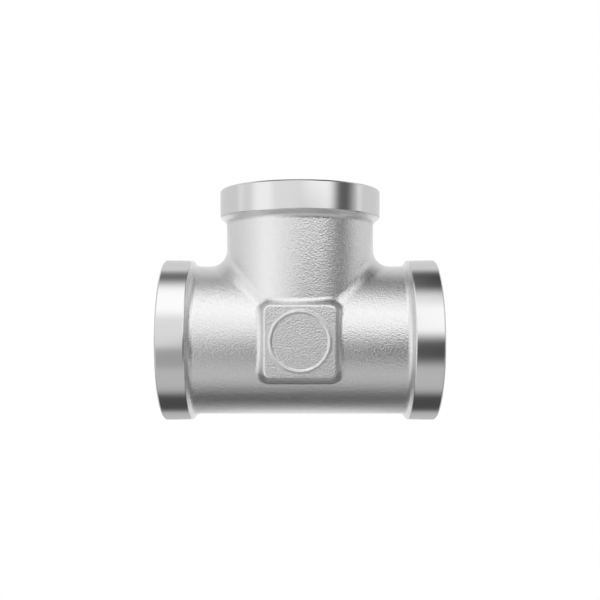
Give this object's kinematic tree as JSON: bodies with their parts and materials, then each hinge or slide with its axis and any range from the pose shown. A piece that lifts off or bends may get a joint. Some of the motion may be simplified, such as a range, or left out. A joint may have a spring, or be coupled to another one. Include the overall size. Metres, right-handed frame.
{
  "type": "threaded tee",
  "caption": "Pipe tee with three equal female pipe threads: a short run with turned bands and a square boss, and a branch at right angles to it.",
  "frame": {"origin": "where the axis of the run and the axis of the branch cross", "axes": "+X along the run, +Y along the branch to its socket, +Z out of the square boss, which faces up as the tee lies on its three bands"},
  "size_m": [0.067, 0.0572, 0.0403],
  "materials": {
    "tee_body": "blasted cast skin, with turned bands and cut threads"
  },
  "bodies": {
    "root": {"tee_body": "tee_body"}
  },
  "joints": []
}
